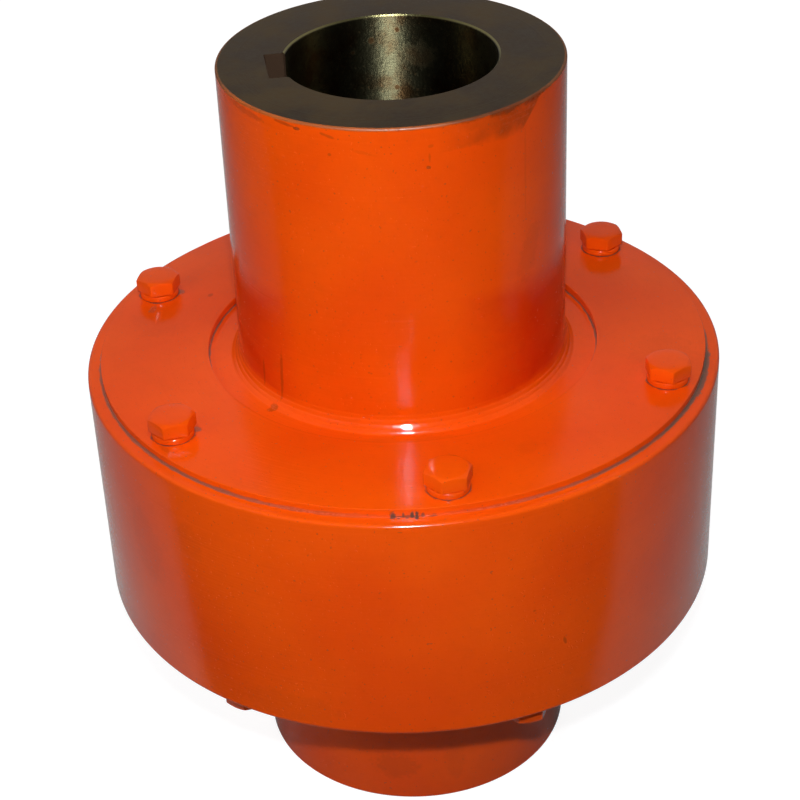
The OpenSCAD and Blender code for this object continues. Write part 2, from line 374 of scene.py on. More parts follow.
def grooved_outline(radius, pins):
    """A flange's circle, with a round groove cut inward for each pin."""
    groove = pins.diameter / 2 + pins.clearance
    mouth = math.acos((radius ** 2 + pins.circle ** 2 - groove ** 2) / (2 * radius * pins.circle))
    widest = math.asin(radius * math.sin(mouth) / groove)
    land = 2 * math.pi / pins.count - 2 * mouth
    half_steps, land_steps = 12, 9
    points = []
    for n in range(pins.count):
        centre = pins.first_angle + 2 * math.pi * n / pins.count
        for step in range(2 * half_steps + 1):
            lean = widest * (step / half_steps - 1)
            x = pins.circle - groove * math.cos(lean)
            y = groove * math.sin(lean)
            points.append((
                x * math.cos(centre) - y * math.sin(centre),
                x * math.sin(centre) + y * math.cos(centre)))
        points += [
            around(radius, centre + mouth + land * step / land_steps, 0)[:2]
            for step in range(1, land_steps)]
    return Outline(points)


def keyed_outline(hub, spread):
    """The bore with its keyway on the -X side, opened up by a chamfer's spread."""
    radius = hub.bore / 2 + spread
    # The keyway's own chamfer is smaller than the bore's
    key_spread = 0.3 * spread
    half = hub.key_width / 2 + key_spread
    floor = hub.bore / 2 + hub.key_depth + key_spread
    corner, corner_steps, bore_steps = KEY_CORNER, 4, 180
    mouth = math.asin((half + corner) / radius)
    side = [(-(math.sqrt(radius ** 2 - half ** 2) + corner), half)]
    for step in range(corner_steps + 1):
        turn = math.pi / 2 * step / corner_steps
        side.append((
            -(floor - corner) - corner * math.sin(turn),
            half - corner + corner * math.cos(turn)))
    arc = 2 * (math.pi - mouth)
    points = [
        around(radius, mouth - math.pi + arc * n / bore_steps, 0)[:2] for n in range(bore_steps + 1)]
    return Outline(points + side + [(x, -y) for x, y in side])


def loft(name, rings, closed=False, finishes=None):
    """A closed mesh through rings of points, joined end to end or capped by fans.

    finishes gives the material slot of each band between two rings.
    """
    mesh = bmesh.new()
    loops = [[mesh.verts.new(p) for p in ring] for ring in rings]
    count = len(rings[0])
    pairs = list(zip(loops, loops[1:]))
    if closed:
        pairs.append((loops[-1], loops[0]))
    for first, second in pairs:
        for i in range(count):
            j = (i + 1) % count
            mesh.faces.new((first[i], first[j], second[j], second[i]))
    if not closed:
        for ring in (loops[0], loops[-1]):
            centre = mesh.verts.new(sum((v.co for v in ring), Vector()) / count)
            for i in range(count):
                mesh.faces.new((ring[i], ring[(i + 1) % count], centre))
    bmesh.ops.recalc_face_normals(mesh, faces=mesh.faces)
    data = bpy.data.meshes.new(name)
    mesh.to_mesh(data)
    mesh.free()
    if finishes:
        slots = [slot for slot in finishes for _ in range(count)]
        data.polygons.foreach_set("material_index", slots)
    return data


def rounded(corner, before, after, steps):
    """Points of a section round the inside of a corner, between two offsets from it."""
    points = []
    for n in range(steps + 1):
        t = n / steps
        blend = [(1 - t) ** 2, 2 * t * (1 - t), t ** 2]
        points.append(tuple(
            blend[0] * (c + b) + blend[1] * c + blend[2] * (c + a)
            for c, b, a in zip(corner, before, after)))
    return points


def in_scene(name, data):
    """A new object at the origin of the scene."""
    item = bpy.data.objects.new(name, data)
    bpy.context.scene.collection.objects.link(item)
    return item


def hold(name, data, body, slot, *nodes):
    """Puts a finished mesh into the scene in place of its frame nodes, smooth but for sharp edges."""
    data.shade_smooth()
    data.set_sharp_from_angle(angle=math.radians(SHARP_EDGE))
    piece = in_scene(name, data)
    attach(piece, body)
    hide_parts(*nodes)


# Node helpers

def add_node(tree, kind, inputs=None, **settings):
    """Adds a node, sets its settings, and links or sets each input that is given.

    An input is given by its socket's name or number. Map Range has the value as 0, the range it
    comes from as 1 and 2, and the one it goes to as 3 and 4. Mix has its factor as 0, two numbers
    as 2 and 3, and two colours as 6 and 7. A node as a source stands for its first output in use.
    """
    node = tree.nodes.new(kind)
    for name, value in settings.items():
        setattr(node, name, value)
    for socket, source in (inputs or {}).items():
        if isinstance(source, bpy.types.Node):
            source = next(output for output in source.outputs if output.enabled)
        if isinstance(source, bpy.types.NodeSocket):
            tree.links.new(source, node.inputs[socket])
        else:
            node.inputs[socket].default_value = source
    return node


def new_tree(name, **sockets):
    """An empty geometry tree, its way to add nodes, and its inputs, named for each type of socket."""
    tree = bpy.data.node_groups.new(name, "GeometryNodeTree")
    tree.interface.new_socket("Geometry", in_out="OUTPUT", socket_type="NodeSocketGeometry")
    for kind, names in sockets.items():
        for socket in names:
            tree.interface.new_socket(socket, in_out="INPUT", socket_type=f"NodeSocket{kind}")
    return tree, partial(add_node, tree), tree.nodes.new("NodeGroupInput").outputs


def run_tree(name, data, tree, values):
    """The plain mesh that a geometry tree makes from a mesh and the values of its inputs."""
    carrier = in_scene(name, data)
    modifier = carrier.modifiers.new(name, "NODES")
    modifier.node_group = tree
    for item in tree.interface.items_tree:
        if item.in_out == "INPUT" and item.name in values:
            modifier[item.identifier] = values[item.name]
    bpy.context.view_layer.update()
    graph = bpy.context.evaluated_depsgraph_get()
    result = bpy.data.meshes.new_from_object(carrier.evaluated_get(graph))
    bpy.data.objects.remove(carrier)
    return result


def finish_tree(add, instances, material):
    """Ends a geometry tree: plain geometry that carries its material."""
    plain = add("GeometryNodeRealizeInstances", {"Geometry": instances})
    painted = add("GeometryNodeSetMaterial", {"Geometry": plain, "Material": material})
    add("NodeGroupOutput", {"Geometry": painted})


def ring_tree():
    """Stands copies of one piece on a circle, each turned about its own axis by its point's turn."""
    tree, add, inputs = new_tree(
        "Ring of Pieces", Geometry=["Geometry"], Object=["Piece"], Material=["Material"],
        Float=["Circle Radius", "First Angle", "Level", "Tip Over"])
    size = add("GeometryNodeAttributeDomainSize", {"Geometry": inputs["Geometry"]})
    index = add("GeometryNodeInputIndex")
    share = add("ShaderNodeMath", {0: index, 1: size.outputs["Point Count"]}, operation="DIVIDE")
    angle = add(
        "ShaderNodeMath", {0: share, 1: 2 * math.pi, 2: inputs["First Angle"]}, operation="MULTIPLY_ADD")
    start = add("ShaderNodeCombineXYZ", {"X": inputs["Circle Radius"], "Z": inputs["Level"]})
    place = add("ShaderNodeVectorRotate", {"Vector": start, "Angle": angle}, rotation_type="Z_AXIS")
    points = add("GeometryNodeSetPosition", {"Geometry": inputs["Geometry"], "Position": place})
    turn = add("GeometryNodeInputNamedAttribute", {"Name": "turn"}, data_type="FLOAT")
    facing = add("ShaderNodeMath", {0: angle, 1: turn}, operation="ADD")
    stance = add("ShaderNodeCombineXYZ", {"X": inputs["Tip Over"], "Z": facing})
    piece = add("GeometryNodeObjectInfo", {"Object": inputs["Piece"]})
    copies = add("GeometryNodeInstanceOnPoints", {
        "Points": points, "Instance": piece.outputs["Geometry"], "Rotation": stance})
    finish_tree(add, copies, inputs["Material"])
    return tree


def turned_points(name, turns):
    """One loose point for each piece of a ring, with the turn of that piece in degrees."""
    data = bpy.data.meshes.new(name)
    data.from_pydata([(0, 0, 0)] * len(turns), [], [])
    attribute = data.attributes.new("turn", "FLOAT", "POINT")
    attribute.data.foreach_set("value", [math.radians(t) for t in turns])
    return data


CUTTERS = ("Groove", "Upper Hole", "Lower Hole")
CUTTER_SIZES = ("Circle", "First Angle", "Level", "Radius", "Depth")


def cutter(which, count, *sizes):
    """Input values of the machined ring's tree for one ring of cutters."""
    return {f"{which} Count": count, **{f"{which} {n}": s for n, s in zip(CUTTER_SIZES, sizes)}}


def machined_tree():
    """Cuts pin grooves through a turned ring, and round holes into both of its end faces."""
    tree, add, inputs = new_tree(
        "Machined Ring", Geometry=["Geometry"], Material=["Material"],
        Int=[f"{which} Count" for which in CUTTERS],
        Float=[f"{which} {size}" for which in CUTTERS for size in CUTTER_SIZES])
    cutters = add("GeometryNodeJoinGeometry")
    for which in CUTTERS:
        circle, first, level, radius, depth = (inputs[f"{which} {size}"] for size in CUTTER_SIZES)
        ring = add("GeometryNodeMeshCircle", {"Vertices": inputs[f"{which} Count"], "Radius": circle})
        lift = add("ShaderNodeCombineXYZ", {"Z": level})
        turn = add("ShaderNodeCombineXYZ", {"Z": first})
        placed = add(
            "GeometryNodeTransform", {"Geometry": ring, "Translation": lift, "Rotation": turn})
        # A hole's cutter stands half in the metal, so each is twice as long as its cut is deep
        length = add("ShaderNodeMath", {0: depth, 1: 2.0}, operation="MULTIPLY")
        tool = add("GeometryNodeMeshCylinder", {
            "Vertices": CUTTER_STEPS, "Radius": radius, "Depth": length}, fill_type="NGON")
        copies = add("GeometryNodeInstanceOnPoints", {"Points": placed, "Instance": tool})
        tree.links.new(copies.outputs[0], cutters.inputs[0])
    tools = add("GeometryNodeRealizeInstances", {"Geometry": cutters})
    cut = add("GeometryNodeMeshBoolean", {
        "Mesh 1": inputs["Geometry"], "Mesh 2": tools}, operation="DIFFERENCE", solver="EXACT")
    finish_tree(add, cut, inputs["Material"])
    return tree


# Materials

def new_surface(name):
    """A material, and what its patterns are made from.

    That is a way to add nodes, the object's coordinates, the distance from the axis and the height.
    """
    material = bpy.data.materials.new(name)
    material.use_nodes = True
    material.node_tree.nodes.clear()
    add = partial(add_node, material.node_tree)
    place = add("ShaderNodeTexCoord").outputs["Object"]
    height = add("ShaderNodeSeparateXYZ", {0: place}).outputs["Z"]
    flat = add("ShaderNodeVectorMath", {0: place, 1: (1, 1, 0)}, operation="MULTIPLY")
    radius = add("ShaderNodeVectorMath", {0: flat}, operation="LENGTH")
    return material, SimpleNamespace(add=add, place=place, radius=radius, height=height)


def stained(at, marks):
    """Mask of ragged marks, each (angle, radius, level, depth, width, height, lean, strength).

    Angles are in degrees and sizes in millimetres. A mark is an ellipse laid on the surface.
    """
    torn_edge = at.add("ShaderNodeTexNoise", {
        "Vector": at.place, "Scale": 700.0, "Detail": 4.0, "Roughness": 0.65})
    total = None
    for angle, radius, level, depth, width, height, lean, strength in marks:
        turn = math.radians(angle)
        local = at.add("ShaderNodeMapping", {
            "Vector": at.place, "Location": around(radius * MM, turn, level * MM),
            "Rotation": (math.radians(lean), 0, turn),
            "Scale": (depth * MM, width * MM, height * MM)}, vector_type="TEXTURE")
        reach = at.add("ShaderNodeVectorMath", {0: local}, operation="LENGTH")
        # The mark ends about where its reach and 1.4 times the noise make 1.5
        torn = at.add("ShaderNodeMath", {0: torn_edge, 1: 1.4, 2: reach}, operation="MULTIPLY_ADD")
        mask = at.add("ShaderNodeMapRange", {
            0: torn, 1: 1.75, 2: 1.25, 4: strength}, interpolation_type="SMOOTHSTEP")
        if total:
            mask = at.add("ShaderNodeMath", {0: total, 1: mask}, operation="MAXIMUM")
        total = mask
    return total


def marked(marks):
    """A layer of grime, dust or chips made of ragged marks."""
    return lambda at: stained(at, marks)


def wiped(edges, strength, patchy=0.6):
    """A layer on a wall between edges of given lean and softness: wiped-on grime, worn enamel or painted
    shade.
    """
    def layer(at):
        streaks = at.add("ShaderNodeTexNoise", {
            "Vector": at.place, "Scale": 260.0, "Detail": 5.0, "Roughness": 0.65})
        shift = at.add("ShaderNodeMapRange", {0: streaks, 3: -1.1 * MM, 4: 1.1 * MM})
        total = strength
        for angle, reach, level, lean, soft in edges:
            turn = math.radians(angle)
            local = at.add("ShaderNodeMapping", {
                "Vector": at.place, "Location": around(reach * MM, turn, level * MM),
                "Rotation": (math.radians(lean), 0, turn)}, vector_type="TEXTURE")
            depth = at.add("ShaderNodeSeparateXYZ", {0: local}).outputs["Z"]
            # Only a soft edge is streaky
            if soft > 1:
                depth = at.add("ShaderNodeMath", {0: depth, 1: shift}, operation="ADD")
            mask = at.add("ShaderNodeMapRange", {0: depth, 2: soft * MM, 4: strength})
            total = at.add("ShaderNodeMath", {0: total, 1: mask}, operation="MINIMUM")
        cloudy = at.add("ShaderNodeMapRange", {0: streaks, 1: 0.35, 2: 0.6, 3: patchy})
        return at.add("ShaderNodeMath", {0: total, 1: cloudy}, operation="MULTIPLY")
    return layer


def ragged(at, distance, depth, scale, detail):
    """A distance that noise makes uneven, by up to the depth."""
    torn = at.add("ShaderNodeTexNoise", {"Vector": at.place, "Scale": scale, "Detail": detail})
    return at.add("ShaderNodeMath", {0: torn, 1: depth, 2: distance}, operation="MULTIPLY_ADD")


def sideways(at, turn):
    """Distance to the left or right, as seen along a heading after a turn about the shaft's axis."""
    turned = at.add(
        "ShaderNodeVectorRotate", {"Vector": at.place, "Angle": turn}, rotation_type="Z_AXIS")
    side = at.add("ShaderNodeSeparateXYZ", {0: turned}).outputs["X"]
    return at.add("ShaderNodeMath", {0: side}, operation="ABSOLUTE")


def only_where(at, mask, distance, side, limit):
    """A mask where a distance is on one side of a limit, LESS_THAN or GREATER_THAN, else nothing."""
    there = at.add("ShaderNodeMath", {0: distance, 1: limit}, operation=side)
    return at.add("ShaderNodeMath", {0: mask, 1: there}, operation="MULTIPLY")


def embossed(at, *patterns):
    """Relief of several patterns over one another, each with its depth in metres."""
    relief = None
    for depth, pattern in patterns:
        sockets = {"Distance": depth, "Height": pattern}
        if relief:
            sockets["Normal"] = relief
        relief = at.add("ShaderNodeBump", sockets)
    return relief


def finished(material, at, **look):
    """Ends a material with its shader, whose sockets are given by name, with _ for a space."""
    sockets = {name.replace("_", " "): value for name, value in look.items()}
    shader = at.add("ShaderNodeBsdfPrincipled", sockets)
    at.add("ShaderNodeOutputMaterial", {"Surface": shader})
    return material


def sprayed_enamel(name, colours, dirt=(), bare=None):
    """Gloss alkyd enamel, sprayed thick over turned steel.

    It looks wet and mirrors its surroundings a little softly. Orange peel and the turning marks of
    the steel below break up small highlights, and the gun's slow passes leave it thinner in places.
    Each layer of grime, dust, wear or painted shade is a colour, how dull it is, and a function that makes
    its mask.
    """
    material, at = new_surface(name)
    add = at.add
    # Passes of the spray gun, about 30 mm apart, and cloudiness of 4 mm within them
    passes = add("ShaderNodeTexNoise", {"Vector": at.place, "Scale": 33.0, "Detail": 1.0})
    clouds = add("ShaderNodeTexNoise", {
        "Vector": at.place, "Scale": 240.0, "Detail": 3.0, "Roughness": 0.6})
    cover = add("ShaderNodeMapRange", {0: passes, 1: 0.35, 2: 0.65})
    body = add("ShaderNodeMix", {0: cover, 6: colours.enamel_thin, 7: colours.enamel}, data_type="RGBA")
    haze = add("ShaderNodeMapRange", {0: clouds, 1: 0.45, 2: 0.85, 4: 0.06})
    # Specks of grime 0.4 mm across
    grit = add("ShaderNodeTexNoise", {"Vector": at.place, "Scale": 1800.0, "Detail": 0.0})
    specks = add("ShaderNodeMapRange", {0: grit, 1: 0.215, 2: 0.16, 4: 0.5})
    dull = add("ShaderNodeMath", {0: haze, 1: specks}, operation="MAXIMUM")
    body = add("ShaderNodeMix", {0: dull, 6: body, 7: colours.grime}, data_type="RGBA")
    for tint, dullness, layer in dirt:
        film = layer(at)
        body = add("ShaderNodeMix", {0: film, 6: body, 7: tint}, data_type="RGBA")
        matt = add("ShaderNodeMath", {0: film, 1: dullness}, operation="MULTIPLY")
        dull = add("ShaderNodeMath", {0: dull, 1: matt}, operation="MAXIMUM")
    gloss = add("ShaderNodeMapRange", {0: dull, 3: 0.07, 4: 0.5})
    unpainted = 0.0
    if bare:
        unpainted = bare(at)
        body = add("ShaderNodeMix", {0: unpainted, 6: body, 7: colours.zinc}, data_type="RGBA")
        gloss = add("ShaderNodeMix", {0: unpainted, 2: gloss, 3: 0.38})
    # Turning marks, which spread a highlight up a wall and along the radius of a face. Their feed
    # is about 0.3 mm, drawn as 0.6 mm so that the single lines show
    along = add("ShaderNodeMath", {0: at.radius, 1: at.height}, operation="SUBTRACT")
    feed = add("ShaderNodeTexNoise", {"W": along, "Scale": 1600.0}, noise_dimensions="1D")
    # Orange peel of 0.9 mm, long waves of 8 mm, and nibs of dust in the wet paint 0.4 mm across
    peel = add("ShaderNodeTexNoise", {"Vector": at.place, "Scale": 1100.0, "Detail": 1.0})
    waves = add("ShaderNodeTexNoise", {"Vector": at.place, "Scale": 120.0, "Detail": 0.0})
    nibs = add("ShaderNodeMapRange", {0: grit, 1: 0.77, 2: 0.84})
    # The same lines and grains are a little duller, which breaks a streak of light up into sparks
    lines = add("ShaderNodeMath", {0: feed, 1: peel}, operation="MULTIPLY")
    duller = add("ShaderNodeMapRange", {0: lines, 1: 0.22, 2: 0.34, 4: 0.1})
    gloss = add("ShaderNodeMath", {0: gloss, 1: duller}, operation="ADD")
    return finished(
        material, at, Base_Color=body, Roughness=gloss, Metallic=unpainted, IOR=1.5,
        Specular_IOR_Level=0.25,
        Normal=embossed(at, (45e-6, feed), (18e-6, peel), (12e-6, waves), (60e-6, nibs)))


def turned_steel(name, colours, marks=()):
    """Carbon steel, faced on a lathe and darkened by old oil.

    The face is dull and brown grey. Fine rings from the tool and cloudy oil stains show on it.
    """
    material, at = new_surface(name)
    add = at.add
    # Oil stains of 15 mm with finer edges, and a grain of 1 mm
    oil = add("ShaderNodeTexNoise", {
        "Vector": at.place, "Scale": 70.0, "Detail": 5.0, "Roughness": 0.62})
    grain = add("ShaderNodeTexNoise", {"Vector": at.place, "Scale": 900.0, "Roughness": 0.7})
    cover = add("ShaderNodeMapRange", {0: oil, 1: 0.38, 2: 0.62})
    body = add("ShaderNodeMix", {0: cover, 6: colours.steel_stain, 7: colours.steel}, data_type="RGBA")
    worn = add("ShaderNodeMapRange", {0: grain, 1: 0.35, 2: 0.75, 4: 0.3})
    body = add("ShaderNodeMix", {0: worn, 6: body, 7: colours.bore_steel}, data_type="RGBA")
    rough = add("ShaderNodeMapRange", {0: oil, 1: 0.3, 2: 0.7, 3: 0.36, 4: 0.5})
    if marks:
        # Painted shade: the marks darken the steel towards rust brown and make it duller, as in the keyway's
        # recess
        blot = stained(at, marks)
        body = add("ShaderNodeMix", {0: blot, 6: body, 7: colours.rust}, data_type="RGBA")
        rough = add("ShaderNodeMix", {0: blot, 2: rough, 3: 0.85})
    # Rings of 0.5 mm left by the facing tool
    rings = add("ShaderNodeTexNoise", {"W": at.radius, "Scale": 2000.0}, noise_dimensions="1D")
    return finished(
        material, at, Base_Color=body, Roughness=rough, Metallic=0.85,
        Normal=embossed(at, (20e-6, rings), (10e-6, grain)))


def bored_steel(name, colours, marks):
    """Carbon steel, bored on a lathe, greasy and spotted with rust.

    Rings of scratches around the bore draw each highlight out into a grainy line along it.
    """
    material, at = new_surface(name)
    add = at.add
    # Scratches 0.5 mm apart along the bore that run on for some 6 mm around it
    drawn = add("ShaderNodeVectorMath", {0: at.place, 1: (160, 160, 2000)}, operation="MULTIPLY")
    scratches = add("ShaderNodeTexNoise", {
        "Vector": drawn, "Scale": 1.0, "Detail": 4.0, "Roughness": 0.7})
    grain = add("ShaderNodeTexNoise", {
        "Vector": at.place, "Scale": 1100.0, "Detail": 3.0, "Roughness": 0.7})
    oil = add("ShaderNodeTexNoise", {
        "Vector": at.place, "Scale": 130.0, "Detail": 4.0, "Roughness": 0.6})
    cover = add("ShaderNodeMapRange", {0: oil, 1: 0.42, 2: 0.66})
    body = add("ShaderNodeMix", {
        0: cover, 6: colours.bore_steel, 7: colours.steel_stain}, data_type="RGBA")
    # Rust spots of about 1 mm
    spots = add("ShaderNodeMapRange", {0: grain, 1: 0.60, 2: 0.68, 4: 0.8})
    spots = add("ShaderNodeMath", {0: spots, 1: stained(at, marks)}, operation="MAXIMUM")
    body = add("ShaderNodeMix", {0: spots, 6: body, 7: colours.rust}, data_type="RGBA")
    # A painted highlight: the top edge of the bore is painted a light steel colour, where it catches the
    # light
    top = UPPER_HUB[1].z
    rubbed = add("ShaderNodeMapRange", {0: at.height, 1: top - 0.4 * MM, 2: top - 0.3 * MM})
    body = add("ShaderNodeMix", {0: rubbed, 6: body, 7: colours.bright_steel}, data_type="RGBA")
    rough = add("ShaderNodeMapRange", {0: spots, 3: 0.3, 4: 0.6})
    # The scratches run round the bore, so the gloss spreads along the axis
    along = add("ShaderNodeCombineXYZ", {"Z": 1.0})
    return finished(
        material, at, Base_Color=body, Roughness=rough, Metallic=1.0, Anisotropic=0.9, Tangent=along,
        Normal=embossed(at, (30e-6, scratches), (50e-6, grain)))


def cast_nylon(name, colours):
    """Cast nylon rod, turned to size and greased.

    It is ivory and waxy, with fine turning rings, and grease has stained it in patches.
    """
    material, at = new_surface(name)
    add = at.add
    grease = add("ShaderNodeTexNoise", {
        "Vector": at.place, "Scale": 160.0, "Detail": 3.0, "Roughness": 0.6})
    cover = add("ShaderNodeMapRange", {0: grease, 1: 0.45, 2: 0.7})
    body = add("ShaderNodeMix", {0: cover, 6: colours.nylon, 7: colours.nylon_dark}, data_type="RGBA")
    # Turning rings of 0.3 mm, drawn 0.5 mm apart so that they show
    rings = add(
        "ShaderNodeTexNoise", {"W": at.height, "Scale": 2000.0, "Detail": 1.0}, noise_dimensions="1D")
    rough = add("ShaderNodeMapRange", {0: cover, 3: 0.5, 4: 0.28})
    return finished(
        material, at, Base_Color=body, Roughness=rough, IOR=1.53, Normal=embossed(at, (10e-6, rings)))


# Pieces

class COUPLING_OT_half_couplings(bpy.types.Operator):
    """Make the two bored and keyed half couplings"""

    bl_idname = "coupling.half_couplings"
    bl_label = "Half Couplings"

    def execute(self, context):
        colours = context.scene.coupling_colours
        bare = (
            turned_steel("faced_steel", colours), bored_steel("bored_steel", colours, BORE_RUST),
            turned_steel("slotted_steel", colours, KEYWAY_OIL))
        upper = sprayed_enamel("upper_hub_enamel", colours, dirt=(
            # The first two layers are painted shade: a deeper red on the lower sides of the hub, for light
            # that the plate bounces there
            (colours.pooled, GLOSSY, wiped(POOLED_LEFT, 0.8, patchy=0.9)),
            (colours.pooled, GLOSSY, wiped(POOLED_RIGHT, 0.9, patchy=0.9)),
            (colours.grime, SATIN, marked(PAINT_RUNS)),
            (colours.steel, MATT, self.end_edge),
            (colours.edge, SATIN, wiped(PAINTED_RIM, 0.95)),
            (colours.grime, SATIN, marked(RUBBED_OIL)),
            (colours.grime, SATIN, wiped(OILY_SMEAR, 0.62)),
            (colours.dust, MATT, self.seam)))
        lower = sprayed_enamel(
            "lower_hub_enamel", colours, dirt=((colours.grime, SATIN, marked(LOWER_HUB_OIL)),))
        for side, end, paint in (("upper", UPPER_HUB[1].z, upper), ("lower", LOWER_HUB[0].z, lower)):
            data = self.build(context.scene, f"{side}_half_coupling", end, (paint, *bare))
            hold(data.name, data, f"{side}_half", "hub_paint", f"{side}_hub")
        return {"FINISHED"}

    def seam(self, at):
        """Grey filler in the seam between the flange and the hole of its plate."""
        reach = ragged(at, at.radius, 0.8 * MM, scale=300.0, detail=2.0)
        return at.add("ShaderNodeMapRange", {
            0: reach, 1: PLATE_HOLE - 0.1 * MM, 2: PLATE_HOLE + 0.2 * MM, 4: 0.8})

    def end_edge(self, at):
        """The rim round the bare end face, worn down to steel."""
        level = ragged(at, at.height, 0.6 * MM, scale=500.0, detail=3.0)
        top = UPPER_HUB[1].z
        return at.add("ShaderNodeMapRange", {0: level, 1: top - 0.3 * MM, 2: top, 4: 0.9})

    def build(self, scene, name, end, finishes):
        """One half coupling, lofted from its section between the parting face and its end."""
        hub, pins, parting = scene.coupling_hub, scene.coupling_pins, LOWER_HUB[1].z
        length = abs(end - parting)
        way = 1 if end > parting else -1
        bore, mouth = keyed_outline(hub, 0), keyed_outline(hub, hub.bore_chamfer)
        outer, chamfer, width = hub.diameter / 2, hub.flange_chamfer, hub.flange_width
        full = grooved_outline(hub.flange_radius, pins)
        slim = grooved_outline(hub.flange_radius - chamfer, pins)
        turned = self.fillet(hub, outer, width)
        start = turned[-1][1]
        wall_steps, edge = 5, hub.edge_round
        turned += [(outer, start + (length - start) * n / wall_steps) for n in range(1, wall_steps)]
        turned += rounded((outer, length), (0, -edge), (-edge, 0), 6)
        flange = [
            (mouth.reach, 0), (slim.reach, 0), (full.reach, chamfer), (full.reach, width - chamfer)]
        wall = [(slim.reach, width), *((lambda angle, r=r: r, z) for r, z in turned)]
        inside = [
            (mouth.reach, length), (bore.reach, length - hub.bore_chamfer), (bore.reach, hub.bore_chamfer)]
        angles = merged(bore.angles, full.angles, gap=0.0015)
        rings = [
            [around(reach(a), a, parting + way * z) for a in angles] for reach, z in flange + wall + inside]
        slots = [FACE] * len(flange) + [PAINT] * len(turned) + [FACE] + [BORE] * len(inside)
        data = loft(name, rings, closed=True, finishes=slots)
        for finish in finishes:
            data.materials.append(finish)
        # The keyway was slotted, so its scratches run along it
        key_wall = hub.key_width / 2 + KEY_CORNER
        for polygon in data.polygons:
            middle = polygon.center
            if polygon.material_index == BORE and middle.x < 0 and abs(middle.y) < key_wall:
                polygon.material_index = SLOT
        return data

    def fillet(self, hub, outer, width):
        """Section of the turned fillet from the flange to the hub, with ridges from the tool."""
        size, ridge, ridge_pitch = hub.fillet, 0.03 * MM, 1.2 * MM
        steps, flange_fade, hub_fade = 48, 5, 12
        sweep = math.acos((size - hub.fillet_foot) / size)
        centre = width + size * math.sin(sweep)
        points = []
        for n in range(steps + 1):
            turn = sweep * (1 - n / steps)
            # The ridges fade out towards the flange, and more slowly up towards the hub
            fade = min(1, n / flange_fade, (steps - n) / hub_fade)
            reach = size + ridge * (math.sin(2 * math.pi * turn * size / ridge_pitch) * fade)
            points.append((outer + size - reach * math.cos(turn), centre - reach * math.sin(turn)))
        return points


